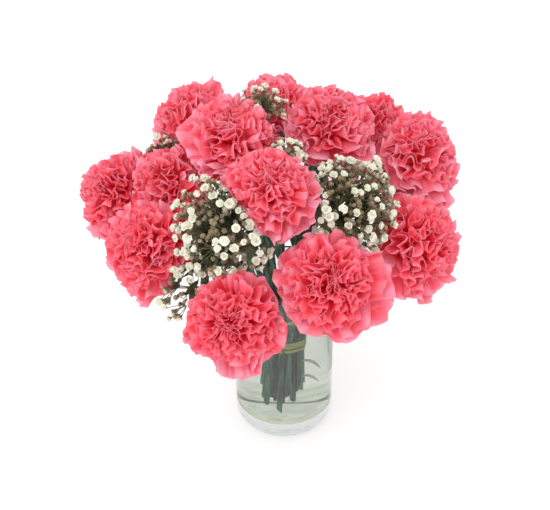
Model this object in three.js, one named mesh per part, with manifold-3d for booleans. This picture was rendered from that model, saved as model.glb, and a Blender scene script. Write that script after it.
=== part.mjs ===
// A round bunch of pink carnations and baby's breath in a clear cylinder vase.
// Millimetres, +Z up. The origin is the middle of the vase's underside; the front of the bunch faces -Y.

import * as THREE from 'three';
import { mergeVertices } from 'three/addons/utils/BufferGeometryUtils.js';
import Module from 'manifold-3d';

const wasm = await Module();
wasm.setup();

// ---------------------------------------------------------------- driving dimensions

const VASE_RADIUS = 40;
const VASE_HEIGHT = 143;
const VASE_WALL = 3;
const VASE_FLOOR = 13;
const HEEL_RADIUS = 14;
const INNER_HEEL_RADIUS = 14;
const VASE_SIDES = 36;
const WATER_SIDES = 24;
const WATER_LEVEL = 120;

// The least gap between two pieces.
const GAP = 0.35;

// The bunch: tied inside the vase, spreading to its cut ends below and to the mouth of the vase above.
const TIE_CENTRE = new THREE.Vector3(1, 0, 84);
const TIE_HEIGHT = 9;
const TIE_THICKNESS = 1;
const STEM_PITCH = 4.2;
const STEM_RADIUS = 1.85;
const SPRAY_STEM_RADIUS = 0.9;
const STEM_SIDES = 6;
const BUNCH_FOOT = new THREE.Vector3(-1, -3, 0);
const BUNCH_SPREAD = 0.005;
const LOWEST_CUT = 24;
const HIGHEST_CUT = 48;
const MOUTH_LEVEL = 148;
const MOUTH_REACH = 33;

// The heads stand on a dome. A bloom's petals are held by its calyx, the green tube at the end of the stem.
const DOME_CENTRE = new THREE.Vector3(-6, 4, 150);
const CALYX_LENGTH = 28;
const CALYX_RADIUS = 7;
const RING_ABOVE_CALYX = 14;
const PETAL_THICKNESS = 0.8;
const USUAL_WIDTH = 76;

// Each bloom: the middle of its widest ring of petals, its width, and the way it faces, as the bearing
// from the front towards +X and the lean from upright.
const BLOOMS = [
  { at: [-37, -107, 181], width: 79, faces: [-12, 62] },
  { at: [31, -95, 203], width: 80, faces: [8, 46] },
  { at: [-97, -47, 202], width: 84, faces: [-48, 54] },
  { at: [-127, 20, 204], width: 79, faces: [-62, 50] },
  { at: [-12, -51, 252], width: 78, faces: [-5, 34] },
  { at: [-38, 6, 260], width: 86, faces: [-20, 8] },
  { at: [-69, 57, 245], width: 82, faces: [-105, 28] },
  { at: [-6, 64, 250], width: 80, faces: [178, 20] },
  { at: [34, 27, 258], width: 83, faces: [60, 20] },
  { at: [67, 62, 235], width: 82, faces: [110, 32] },
  { at: [100, 34, 230], width: 83, faces: [72, 40] },
  { at: [95, -36, 196], width: 86, faces: [58, 52] },
  { at: [-84, 0, 223], width: 84, faces: [-70, 36] },
  { at: [-40, 104, 200], width: 78, faces: [-160, 56] },
  { at: [38, 108, 196], width: 78, faces: [160, 56] },
  { at: [-102, 72, 180], width: 78, faces: [-122, 60] },
  { at: [97, 64, 172], width: 78, faces: [120, 60] },
];

// Each spray of baby's breath: the middle of its florets, its width, and how many twigs fork off.
const SPRAYS = [
  { at: [46, -36, 227], width: 76, twigs: 6 },
  { at: [-43, -62, 226], width: 78, twigs: 6 },
  { at: [-18, 34, 268], width: 38, twigs: 3 },
  { at: [-92, 30, 234], width: 30, twigs: 2 },
  { at: [0, -18, 260], width: 26, twigs: 2 },
  { at: [0, 114, 166], width: 58, twigs: 5 },
  { at: [-70, -80, 184], width: 42, twigs: 3 },
];
const FLORETS_PER_TWIG = 3;
const FLORET_RADIUS = 3.8;
const TWIG_RADIUS = 0.6;
const FORK_RADIUS = 1.6;

// The layers of petals, from the guard petals to the crown, for a bloom of the usual width.
// root, mid and edge are [distance from the bloom's axis, height over its widest ring].
const LAYERS = [
  { petals: 5, span: 67, points: [2, 6], root: [6.5, -6], mid: [19, -7], edge: [39.5, -5], wave: 3.6 },
  { petals: 3, span: 112, points: [3, 7], root: [6, 0], mid: [17, 3], edge: [34, 13], wave: 4.4 },
  { petals: 2, span: 166, points: [2, 6], root: [4.5, 4.5], mid: [11, 12], edge: [20, 25], wave: 3.6 },
];
const NOTCH_DEPTH = 3;

const PINK = new THREE.Color(0.94, 0.33, 0.42);
const STEM_GREEN = new THREE.Color(0.33, 0.46, 0.36);
const CREAM = new THREE.Color(0.93, 0.92, 0.84);
const GLASS_TINT = new THREE.Color(0.86, 0.92, 0.9);
const WATER_TINT = new THREE.Color(0.86, 0.89, 0.84);
const TIE_YELLOW = new THREE.Color(0.66, 0.7, 0.4);

// ---------------------------------------------------------------- small tools

function seededRandom(seed) {
  let state = seed;
  return () => {
    state = (state * 16807) % 2147483647;
    return state / 2147483647;
  };
}

function degrees(angle) {
  return THREE.MathUtils.degToRad(angle);
}

// A closed geometry becomes a solid that can be joined or cut.
function solid(geometry) {
  const bare = geometry.index ? geometry.clone() : geometry;
  bare.deleteAttribute('normal');
  bare.deleteAttribute('uv');
  const merged = mergeVertices(bare, 1e-4);
  return new wasm.Manifold(new wasm.Mesh({
    numProp: 3,
    vertProperties: new Float32Array(merged.attributes.position.array),
    triVerts: new Uint32Array(merged.index.array),
  }));
}

function geometryOf(body) {
  const mesh = body.getMesh();
  const geometry = new THREE.BufferGeometry();
  geometry.setAttribute('position', new THREE.BufferAttribute(mesh.vertProperties, 3));
  geometry.setIndex(new THREE.BufferAttribute(mesh.triVerts, 1));
  geometry.computeVertexNormals();
  return geometry;
}

function fused(geometries) {
  return geometryOf(wasm.Manifold.union(geometries.map(solid)));
}

function triangles(points, faces) {
  const geometry = new THREE.BufferGeometry();
  geometry.setFromPoints(points);
  geometry.setIndex(faces.flat());
  return geometry;
}

// A closed body through rings of points that all turn the same way. A ring of one point is a tip.
function loft(rings) {
  const points = rings.flat();
  const faces = [];
  let start = 0;
  for (let i = 0; i + 1 < rings.length; i += 1) {
    const here = rings[i].length;
    const next = rings[i + 1].length;
    const sides = Math.max(here, next);
    for (let k = 0; k < sides; k += 1) {
      const a = start + (k % here);
      const b = start + ((k + 1) % here);
      const c = start + here + (k % next);
      const d = start + here + ((k + 1) % next);
      if (here > 1) faces.push([a, b, d]);
      if (next > 1) faces.push([a, d, c]);
    }
    start += here;
  }
  const last = rings[rings.length - 1].length;
  for (let k = 1; k + 1 < rings[0].length; k += 1) faces.push([0, k + 1, k]);
  for (let k = 1; k + 1 < last; k += 1) faces.push([start, start + k, start + k + 1]);
  return triangles(points, faces);
}

function ring(centre, across, along, radius, sides) {
  return Array.from({ length: sides }, (_, k) => {
    const angle = (2 * Math.PI * k) / sides;
    return centre.clone()
      .addScaledVector(across, radius * Math.cos(angle))
      .addScaledVector(along, radius * Math.sin(angle));
  });
}

// A round body along a path, with its own radius at each point of the path.
function tube(path, radii, sides) {
  let across = new THREE.Vector3(1, 0, 0);
  const rings = path.map((point, i) => {
    const before = path[Math.max(i - 1, 0)];
    const after = path[Math.min(i + 1, path.length - 1)];
    const forward = after.clone().sub(before).normalize();
    across = across.clone().addScaledVector(forward, -across.dot(forward)).normalize();
    return ring(point, across, forward.clone().cross(across), radii[i], sides);
  });
  return loft(rings);
}

// The triangles between two rows of points of unlike counts.
function zip(startA, countA, startB, countB) {
  const faces = [];
  let i = 0;
  let j = 0;
  while (i < countA - 1 || j < countB - 1) {
    const nextA = i < countA - 1 ? (i + 1) / (countA - 1) : Infinity;
    const nextB = j < countB - 1 ? (j + 1) / (countB - 1) : Infinity;
    if (nextA < nextB) {
      faces.push([startA + i, startB + j, startA + i + 1]);
      i += 1;
    } else {
      faces.push([startA + i, startB + j, startB + j + 1]);
      j += 1;
    }
  }
  return faces;
}

// A thin waved blade: rows of points on its middle surface, thickened alike to both sides.
function blade(rows, thickness) {
  const middle = rows.flat();
  const faces = [];
  let start = 0;
  for (let i = 0; i + 1 < rows.length; i += 1) {
    faces.push(...zip(start, rows[i].length, start + rows[i].length, rows[i + 1].length));
    start += rows[i].length;
  }
  const normals = middle.map(() => new THREE.Vector3());
  const edges = new Map();
  for (const [a, b, c] of faces) {
    const side = middle[b].clone().sub(middle[a]);
    const normal = side.cross(middle[c].clone().sub(middle[a]));
    for (const k of [a, b, c]) normals[k].add(normal);
    for (const [from, to] of [[a, b], [b, c], [c, a]]) {
      if (!edges.delete(`${to} ${from}`)) edges.set(`${from} ${to}`, [from, to]);
    }
  }
  const shift = normals.map((normal) => normal.setLength(thickness / 2));
  const count = middle.length;
  const points = [
    ...middle.map((point, k) => point.clone().add(shift[k])),
    ...middle.map((point, k) => point.clone().sub(shift[k])),
  ];
  const shell = faces.flatMap(([a, b, c]) => [[a, b, c], [a + count, c + count, b + count]]);
  for (const [from, to] of edges.values()) {
    shell.push([to, from, from + count], [to, from + count, to + count]);
  }
  return triangles(points, shell);
}

// ---------------------------------------------------------------- where everything stands

function facing(bearing, lean) {
  const out = Math.sin(degrees(lean));
  return new THREE.Vector3(
    out * Math.sin(degrees(bearing)),
    -out * Math.cos(degrees(bearing)),
    Math.cos(degrees(lean)),
  );
}

// Heads are the blooms and the sprays. A spray faces straight out from the middle of the dome.
const heads = [...BLOOMS, ...SPRAYS].map((entry, index) => {
  const centre = new THREE.Vector3(...entry.at);
  const axis = entry.faces ? facing(...entry.faces) : centre.clone().sub(DOME_CENTRE).normalize();
  const isBloom = index < BLOOMS.length;
  const depth = isBloom ? RING_ABOVE_CALYX + CALYX_LENGTH : entry.width / 2;
  return {
    ...entry,
    isBloom,
    centre,
    axis,
    foot: centre.clone().addScaledVector(axis, -depth),
    calyxTop: centre.clone().addScaledVector(axis, -RING_ABOVE_CALYX),
    stemRadius: isBloom ? STEM_RADIUS : SPRAY_STEM_RADIUS,
  };
});
const blooms = heads.filter((head) => head.isBloom);
const sprays = heads.filter((head) => !head.isBloom);

// In the tie the stems stand in a honeycomb.
const ROWS = 3;
function honeycomb(count) {
  const places = [];
  for (let row = -ROWS; row <= ROWS; row += 1) {
    for (let column = -ROWS; column <= ROWS; column += 1) {
      places.push(new THREE.Vector3(
        STEM_PITCH * (column + row / 2),
        STEM_PITCH * row * Math.sin(degrees(60)),
        0,
      ));
    }
  }
  places.sort((a, b) => a.length() - b.length() || a.y - b.y || a.x - b.x);
  return places.slice(0, count);
}

// Where a stem leaves the vase: on its way to its head, but clear of the glass.
const MOUTH_SHARE = 1.7;
function inMouth(head) {
  const out = head.foot.clone().sub(TIE_CENTRE);
  const share = ((MOUTH_LEVEL - TIE_CENTRE.z) / out.z) ** MOUTH_SHARE;
  const spot = TIE_CENTRE.clone().addScaledVector(out, share).setZ(0);
  const radius = spot.length();
  return spot.multiplyScalar((MOUTH_REACH * Math.tanh(radius / MOUTH_REACH)) / radius).setZ(MOUTH_LEVEL);
}

// Places are swapped between two stems wherever that brings both nearer to their heads' sides,
// so that no two stems cross on the way up.
function settle() {
  const places = honeycomb(heads.length);
  const reach = heads.map((head) => inMouth(head).sub(TIE_CENTRE).setZ(0));
  heads.forEach((head, k) => {
    head.place = places[k];
  });
  let swapped = true;
  while (swapped) {
    swapped = false;
    for (let i = 0; i < heads.length; i += 1) {
      for (let j = i + 1; j < heads.length; j += 1) {
        const apart = reach[i].clone().sub(reach[j]);
        if (apart.dot(heads[i].place.clone().sub(heads[j].place)) < -1e-9) {
          [heads[i].place, heads[j].place] = [heads[j].place, heads[i].place];
          swapped = true;
        }
      }
    }
  }
}
settle();

// Below the tie a stem runs straight and the bunch spreads a little, each stem cut at its own height.
// Above it the stem spreads to its spot in the mouth of the vase, and from there it bends over until it
// points along its head's axis.
const CUT_STEP = 0.618;
const MOUTH_BEND = 1.35;
heads.forEach((head, index) => {
  const cut = THREE.MathUtils.lerp(LOWEST_CUT, HIGHEST_CUT, (index * CUT_STEP) % 1);
  const below = TIE_CENTRE.z - cut;
  head.tied = head.place.clone().add(TIE_CENTRE);
  head.cut = head.place.clone().multiplyScalar(1 + BUNCH_SPREAD * below)
    .addScaledVector(BUNCH_FOOT.clone().sub(TIE_CENTRE).setZ(0), below / TIE_CENTRE.z)
    .add(TIE_CENTRE)
    .setZ(cut);
  head.mouth = inMouth(head);
});

// A point of the stem between the tie, 0, and the foot of the head, 1.
function stemPoint(head, share) {
  const inside = head.mouth.clone().sub(head.tied);
  const over = head.foot.clone().sub(head.mouth);
  const turn = inside.length() / (inside.length() + over.length());
  if (share <= turn) {
    const rise = share / turn;
    const bend = rise ** MOUTH_BEND;
    return new THREE.Vector3(inside.x * bend, inside.y * bend, inside.z * rise).add(head.tied);
  }
  const way = (share - turn) / (1 - turn);
  const start = new THREE.Vector3(inside.x * MOUTH_BEND, inside.y * MOUTH_BEND, inside.z);
  const hold = over.length() / 3;
  const curve = new THREE.CubicBezierCurve3(
    head.mouth,
    head.mouth.clone().addScaledVector(start.normalize(), hold),
    head.foot.clone().addScaledVector(head.axis, -hold),
    head.foot,
  );
  return curve.getPoint(way);
}

// ---------------------------------------------------------------- room for each head

// What each head leaves free: flat walls between it and its neighbours, and round every other stem.
const STEM_MARGIN = 1.4;
const CALYX_MARGIN = 0.8;
const STEM_STEPS = 36;
const FIRST_STEM_SHARE = 0.3;
const CALYX_PARTS = 8;
function wallsOf(head) {
  const walls = [];
  const keepOff = (point, distance) => {
    const normal = point.clone().sub(head.centre);
    const reach = normal.length() - distance - GAP - PETAL_THICKNESS / 2;
    if (reach < head.width) walls.push({ normal: normal.normalize(), reach });
  };
  for (const other of heads) {
    if (other === head) continue;
    const apart = other.centre.distanceTo(head.centre);
    keepOff(other.centre, (apart * other.width) / (head.width + other.width));
    for (let k = 0; k <= STEM_STEPS; k += 1) {
      const share = THREE.MathUtils.lerp(FIRST_STEM_SHARE, 1, k / STEM_STEPS);
      keepOff(stemPoint(other, share), other.stemRadius + STEM_MARGIN);
    }
    if (!other.isBloom) continue;
    for (let k = 0; k <= CALYX_PARTS; k += 1) {
      const spot = other.foot.clone().lerp(other.calyxTop, k / CALYX_PARTS);
      keepOff(spot, CALYX_RADIUS + CALYX_MARGIN);
    }
  }
  if (head.isBloom) {
    const normal = head.axis.clone().negate();
    walls.push({ normal, reach: RING_ABOVE_CALYX - GAP - PETAL_THICKNESS / 2 });
  }
  return walls;
}

// A point of a head is pressed back towards the middle as it nears a wall, and never reaches it.
const FREE_SHARE = 0.7;
const PRESSED_SHARE = 1 - FREE_SHARE;
function pressed(head, offset) {
  const length = offset.length();
  if (length < 1e-6) return head.centre.clone();
  const direction = offset.clone().divideScalar(length);
  let room = Infinity;
  for (const wall of head.walls) {
    const facing = wall.normal.dot(direction);
    if (facing > 1e-6) room = Math.min(room, wall.reach / facing);
  }
  let reach = length;
  if (length > FREE_SHARE * room) {
    const over = (length - FREE_SHARE * room) / (PRESSED_SHARE * room);
    reach = room * (1 - PRESSED_SHARE * Math.exp(-over));
  }
  return head.centre.clone().addScaledVector(direction, reach);
}

heads.forEach((head) => {
  head.walls = wallsOf(head);
  head.across = new THREE.Vector3(0, 0, 1).cross(head.axis).normalize();
  head.along = head.axis.clone().cross(head.across);
});

function inHead(head, angle, out, height) {
  const offset = head.across.clone().multiplyScalar(out * Math.cos(angle))
    .addScaledVector(head.along, out * Math.sin(angle))
    .addScaledVector(head.axis, height);
  return pressed(head, offset);
}

// ---------------------------------------------------------------- blooms

// A petal is a fan: a claw in the core, a ridge or fold across its middle, and a waved and notched edge.
const RIDGE_SHARE = 0.35;
const LEAST_WAVE = 0.7;
function petal(head, layer, turn, random) {
  const scale = head.width / USUAL_WIDTH;
  const span = degrees(layer.span);
  const slope = Math.atan2(layer.edge[1] - layer.mid[1], layer.edge[0] - layer.mid[0]);
  const wavedPoint = (share, [out, height], wave, notch) => {
    const angle = turn + span * (share - 0.5);
    const reach = out - notch;
    return inHead(
      head,
      angle,
      scale * (reach - wave * Math.sin(slope)),
      scale * (height + wave * Math.cos(slope) - notch * Math.sin(slope)),
    );
  };
  const side = random() < 0.5 ? -1 : 1;
  const [middlePoints, edgePoints] = layer.points;
  const root = [inHead(head, turn, scale * layer.root[0], scale * layer.root[1])];
  const middle = Array.from({ length: middlePoints }, (_, k) => {
    const lift = k === 1 ? -side * RIDGE_SHARE * layer.wave : 0;
    return wavedPoint(k / (middlePoints - 1), layer.mid, lift, 0);
  });
  const edge = Array.from({ length: edgePoints }, (_, k) => {
    const wave = side * (k % 2 ? -1 : 1) * layer.wave * THREE.MathUtils.lerp(LEAST_WAVE, 1, random());
    const notch = (k % 2) * NOTCH_DEPTH + random();
    return wavedPoint(k / (edgePoints - 1), layer.edge, wave, notch);
  });
  return blade([root, middle, edge], PETAL_THICKNESS);
}

// The folded heart of the bloom, from just above its calyx up to a crumpled crown.
// A level is [distance from the axis, height over the widest ring, depth of the folds].
const CORE_SIDES = 6;
const CORE_BASE_RADIUS = 5;
const CORE_BASE_LIFT = 2 * GAP;
const CORE_LEVELS = [[9, -4, 0.6], [7, 8, 1.6]];
const CORE_TOP = 12;
const LEAST_FOLD = 0.6;
function core(head, random) {
  const scale = head.width / USUAL_WIDTH;
  const level = ([out, height, fold]) => Array.from({ length: CORE_SIDES }, (_, k) => {
    const angle = (2 * Math.PI * k) / CORE_SIDES;
    const push = fold * (k % 2 ? -1 : 1) * THREE.MathUtils.lerp(LEAST_FOLD, 1, random());
    return inHead(head, angle, scale * (out + push), scale * (height - push));
  });
  const base = ring(
    head.calyxTop.clone().addScaledVector(head.axis, CORE_BASE_LIFT),
    head.across,
    head.along,
    CORE_BASE_RADIUS,
    CORE_SIDES,
  );
  return loft([base, ...CORE_LEVELS.map(level), [inHead(head, 0, 0, scale * CORE_TOP)]]);
}

const FIRST_BLOOM_SEED = 101;
function bloom(head, index) {
  const random = seededRandom(FIRST_BLOOM_SEED + index);
  const parts = [core(head, random)];
  let start = 2 * Math.PI * random();
  for (const layer of LAYERS) {
    const step = (2 * Math.PI) / layer.petals;
    for (let k = 0; k < layer.petals; k += 1) parts.push(petal(head, layer, start + k * step, random));
    start += step / 2;
  }
  return fused(parts);
}

// ---------------------------------------------------------------- stems

// A stem has a swollen joint, and swells at its end into the calyx.
const JOINT_SHARE = 0.55;
const JOINT_RADIUS = 2.8;
const JOINT_HALF = 0.025;
const STEM_SHARES = [0, 0.3, JOINT_SHARE - JOINT_HALF, JOINT_SHARE, JOINT_SHARE + JOINT_HALF, 0.78, 0.92];
const CALYX_STEPS = [[0, STEM_RADIUS], [2, 4.4], [9, 6.3], [CALYX_LENGTH, CALYX_RADIUS]];

// Narrow leaves stand in pairs on the outer stems and hang outwards under the blooms.
// A step is [share of the leaf's length, share of its width].
const LEAF_LENGTH = 46;
const LEAF_WIDTH = 6;
const LEAF_THICKNESS = 0.8;
const LEAF_SHARE = 0.87;
const LEAF_DROOP = 0.4;
const LEAF_RISE = -0.12;
const LEAST_LEAFY_LEAN = 49;
const LEAF_STEPS = [[0.3, 1], [0.65, 0.8], [1, 0]];

function leaf(head, side) {
  const root = stemPoint(head, LEAF_SHARE);
  const outward = new THREE.Vector3(head.axis.x, head.axis.y, 0).normalize();
  const sideways = new THREE.Vector3(-outward.y, outward.x, 0).multiplyScalar(side);
  const along = sideways.add(outward).setZ(LEAF_RISE).normalize();
  const across = new THREE.Vector3(0, 0, 1).cross(along).normalize();
  const rows = LEAF_STEPS.map(([share, width]) => {
    const middle = root.clone().addScaledVector(along, LEAF_LENGTH * share);
    middle.z -= LEAF_DROOP * LEAF_LENGTH * share * share;
    if (width === 0) return [middle];
    const half = across.clone().multiplyScalar((LEAF_WIDTH * width) / 2);
    return [middle.clone().sub(half), middle.clone().add(half)];
  });
  return blade([[root], ...rows], LEAF_THICKNESS);
}

function stem(head) {
  const path = [head.cut];
  const radii = [STEM_RADIUS];
  for (const share of STEM_SHARES) {
    path.push(stemPoint(head, share));
    radii.push(share === JOINT_SHARE ? JOINT_RADIUS : STEM_RADIUS);
  }
  for (const [along, radius] of CALYX_STEPS) {
    path.push(head.foot.clone().addScaledVector(head.axis, along));
    radii.push(radius);
  }
  const stalk = tube(path, radii, STEM_SIDES);
  const leafy = head.axis.z < Math.cos(degrees(LEAST_LEAFY_LEAN));
  return leafy ? fused([stalk, leaf(head, -1), leaf(head, 1)]) : stalk;
}

// ---------------------------------------------------------------- baby's breath

// A thin stalk that starts as a point, out of sight in what it grows from, and ends in a knob, which is
// a fork or a floret.
const TWIG_SIDES = 3;
const KNOB_BELOW = 1.1;
const KNOB_ABOVE = 0.8;
const ROOTED = 0.4;
const SLANTED = new THREE.Vector3(0.3, 0.5, 0.8);
function knobbed(from, to, knobRadius) {
  const forward = to.clone().sub(from);
  const length = forward.length();
  forward.divideScalar(length);
  const across = SLANTED.clone().cross(forward).normalize();
  const along = forward.clone().cross(across);
  const section = (distance, radius) => ring(
    from.clone().addScaledVector(forward, distance),
    across,
    along,
    radius,
    TWIG_SIDES,
  );
  return loft([
    [from.clone().addScaledVector(forward, -ROOTED)],
    section(length - KNOB_BELOW * knobRadius, TWIG_RADIUS),
    section(length, knobRadius),
    [to.clone().addScaledVector(forward, KNOB_ABOVE * knobRadius)],
  ]);
}

// The twigs turn by the golden angle and lean out more and more. Lengths are shares of the spray's width.
const FIRST_SPRAY_SEED = 501;
const SPRAY_SHARES = [0, 0.3, 0.55, 0.75, 0.9];
const SPRAY_STEM_SIDES = 4;
const GOLDEN_ANGLE = 2.4;
const FIRST_LEAN = 25;
const MORE_LEAN = 60;
const FORK_REACH = 0.16;
const FLORET_REACH = [0.34, 0.47];
const FLORET_FAN = 0.25;
const FLORET_TILT = 26;
function spray(head, index) {
  const random = seededRandom(FIRST_SPRAY_SEED + index);
  const path = [head.cut, ...SPRAY_SHARES.map((share) => stemPoint(head, share)), head.foot];
  const radii = path.map(() => SPRAY_STEM_RADIUS);
  const tip = head.foot.clone().addScaledVector(head.axis, FORK_RADIUS);
  radii[radii.length - 1] = FORK_RADIUS;
  const parts = [tube([...path, tip], [...radii, TWIG_RADIUS], SPRAY_STEM_SIDES)];
  const spot = (angle, lean, reach) => inHead(
    head,
    angle,
    head.width * reach * Math.sin(lean),
    head.width * reach * Math.cos(lean),
  );
  for (let k = 0; k < head.twigs; k += 1) {
    const angle = GOLDEN_ANGLE * k;
    const lean = degrees(FIRST_LEAN + MORE_LEAN * Math.sqrt(k / head.twigs));
    const fork = spot(angle, lean, FORK_REACH);
    parts.push(knobbed(head.foot, fork, FORK_RADIUS));
    for (let m = 0; m < FLORETS_PER_TWIG; m += 1) {
      const turn = angle + (m - 1) * (GOLDEN_ANGLE / head.twigs + FLORET_FAN);
      const tilt = lean + degrees(FLORET_TILT) * (m % 2 ? 1 : -1) * (0.5 + random());
      const end = spot(turn, tilt, THREE.MathUtils.lerp(...FLORET_REACH, random()));
      parts.push(knobbed(fork, end, FLORET_RADIUS));
    }
  }
  return fused(parts);
}

// ---------------------------------------------------------------- vase, water and tie

function arc(centreX, centreY, radius, from, to, steps) {
  return Array.from({ length: steps + 1 }, (_, k) => {
    const angle = degrees(from + ((to - from) * k) / steps);
    return new THREE.Vector2(centreX + radius * Math.cos(angle), centreY + radius * Math.sin(angle));
  });
}

function turned(profile, sides) {
  return geometryOf(solid(new THREE.LatheGeometry(profile, sides)));
}

function vase() {
  const inner = VASE_RADIUS - VASE_WALL;
  const lip = VASE_WALL / 2;
  return turned([
    new THREE.Vector2(0, 0),
    ...arc(VASE_RADIUS - HEEL_RADIUS, HEEL_RADIUS, HEEL_RADIUS, -90, 0, 3),
    ...arc(VASE_RADIUS - lip, VASE_HEIGHT - lip, lip, 0, 180, 2),
    ...arc(inner - INNER_HEEL_RADIUS, VASE_FLOOR + INNER_HEEL_RADIUS, INNER_HEEL_RADIUS, 0, -90, 2),
    new THREE.Vector2(0, VASE_FLOOR),
  ], VASE_SIDES);
}

// The tie is a band drawn round the stems.
const TIE_INNER_RADIUS = Math.max(...heads.map((head) => head.place.length())) + STEM_RADIUS + 3 * GAP;
const TIE_RADIUS = TIE_INNER_RADIUS + TIE_THICKNESS;
const TIE_SIDES = 24;

function tie() {
  const low = -TIE_HEIGHT / 2;
  const high = TIE_HEIGHT / 2;
  const band = new THREE.LatheGeometry([
    new THREE.Vector2(TIE_INNER_RADIUS, low),
    new THREE.Vector2(TIE_RADIUS, low),
    new THREE.Vector2(TIE_RADIUS, high),
    new THREE.Vector2(TIE_INNER_RADIUS, high),
    new THREE.Vector2(TIE_INNER_RADIUS, low),
  ], TIE_SIDES);
  return geometryOf(solid(band.rotateX(Math.PI / 2).translate(...TIE_CENTRE)));
}

// The bound neck of the bunch stands in one wide opening of the water, each cut end in its own hole.
const NECK_MARGIN = 1.5;
const NECK_SIDES = 16;
const HOLE_MARGIN = 1.2 * GAP;
function water() {
  const inner = VASE_RADIUS - VASE_WALL - GAP;
  const floor = VASE_FLOOR + GAP;
  const body = new THREE.LatheGeometry([
    new THREE.Vector2(0, floor),
    ...arc(inner - INNER_HEEL_RADIUS, floor + INNER_HEEL_RADIUS, INNER_HEEL_RADIUS, -90, 0, 2),
    new THREE.Vector2(inner, WATER_LEVEL),
    new THREE.Vector2(0, WATER_LEVEL),
  ], WATER_SIDES).rotateX(Math.PI / 2);
  const neckLow = TIE_CENTRE.z - TIE_HEIGHT;
  const neckTop = WATER_LEVEL + 1;
  let widest = 0;
  for (const head of heads) {
    const rise = (neckTop - head.tied.z) / (head.mouth.z - head.tied.z);
    const offset = head.mouth.clone().sub(head.tied).multiplyScalar(rise ** MOUTH_BEND).add(head.place);
    widest = Math.max(widest, Math.hypot(offset.x, offset.y) + head.stemRadius);
  }
  const neck = new THREE.LatheGeometry([
    new THREE.Vector2(0, neckLow),
    new THREE.Vector2(TIE_RADIUS + NECK_MARGIN, neckLow),
    new THREE.Vector2(TIE_RADIUS + NECK_MARGIN, TIE_CENTRE.z + TIE_HEIGHT),
    new THREE.Vector2(widest + NECK_MARGIN, neckTop),
    new THREE.Vector2(0, neckTop),
  ], NECK_SIDES).rotateX(Math.PI / 2).translate(TIE_CENTRE.x, TIE_CENTRE.y, 0);
  const holes = heads.map((head) => {
    const down = head.cut.clone().sub(head.tied).normalize();
    const end = head.cut.clone().addScaledVector(down, GAP);
    const radius = head.stemRadius + HOLE_MARGIN;
    return solid(tube([end, head.tied], [radius, radius], head.isBloom ? STEM_SIDES : SPRAY_STEM_SIDES));
  });
  return geometryOf(solid(body).subtract(wasm.Manifold.union([solid(neck), ...holes])));
}

// ---------------------------------------------------------------- the whole bunch

const group = new THREE.Group();

function add(name, geometry, color, roughness, extra = {}) {
  const material = new THREE.MeshStandardMaterial({ color, roughness, metalness: 0, ...extra });
  const mesh = new THREE.Mesh(geometry, material);
  mesh.name = name;
  group.add(mesh);
}

const numbered = (word, index) => `${word}_${String(index + 1).padStart(2, '0')}`;

add('vase', vase().rotateX(Math.PI / 2), GLASS_TINT, 0.05, { transparent: true, opacity: 0.35 });
add('water', water(), WATER_TINT, 0.02, { transparent: true, opacity: 0.4 });
add('tie', tie(), TIE_YELLOW, 0.6);
blooms.forEach((head, index) => {
  add(numbered('bloom', index), bloom(head, index), PINK, 0.7);
  add(numbered('stem', index), stem(head), STEM_GREEN, 0.55);
});
sprays.forEach((head, index) => {
  add(numbered('spray', index), spray(head, index), CREAM, 0.8);
});

export default group;
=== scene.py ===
import math

import bpy
import numpy as np
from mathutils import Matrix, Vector


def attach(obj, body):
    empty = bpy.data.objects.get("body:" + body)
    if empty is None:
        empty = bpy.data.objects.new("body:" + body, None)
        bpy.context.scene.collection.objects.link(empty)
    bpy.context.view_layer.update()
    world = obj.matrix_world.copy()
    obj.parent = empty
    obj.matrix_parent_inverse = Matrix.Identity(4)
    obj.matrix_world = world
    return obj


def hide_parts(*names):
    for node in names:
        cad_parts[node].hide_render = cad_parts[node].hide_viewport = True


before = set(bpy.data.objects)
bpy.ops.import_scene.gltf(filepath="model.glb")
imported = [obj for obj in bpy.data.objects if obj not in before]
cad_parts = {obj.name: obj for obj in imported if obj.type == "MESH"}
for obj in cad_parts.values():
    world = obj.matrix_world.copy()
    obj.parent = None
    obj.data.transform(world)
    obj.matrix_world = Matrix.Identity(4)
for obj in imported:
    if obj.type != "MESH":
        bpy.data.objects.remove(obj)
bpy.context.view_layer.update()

MM = 0.001

# ------------------------------------------------------------------------------------------- the vase
# A plain cylinder of clear glass, pressed in a mould: a thick bottom, a heel rounded all the way to
# the underside, straight walls, and a rim melted round. It stands on the flat middle of its underside.

VASE_RADIUS = 40 * MM
VASE_HEIGHT = 143 * MM
VASE_WALL = 3 * MM
VASE_FLOOR = 13 * MM
HEEL_RADIUS = 14 * MM
INNER_HEEL_RADIUS = 14 * MM
HEEL_STEPS = 14
RIM_STEPS = 10
INNER_HEEL_STEPS = 10
TURNED_STEPS = 96
WELDED = 0.002 * MM
TURNED_EDGE = 40


def arc(centre_out, centre_up, radius, first, last, steps):
    """Points (out, up) of an arc between two angles in degrees."""
    angles = np.radians(np.linspace(first, last, steps + 1))
    return [(centre_out + radius * math.cos(a), centre_up + radius * math.sin(a)) for a in angles]


def nothing_selected():
    bpy.ops.object.select_all(action="DESELECT")


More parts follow.
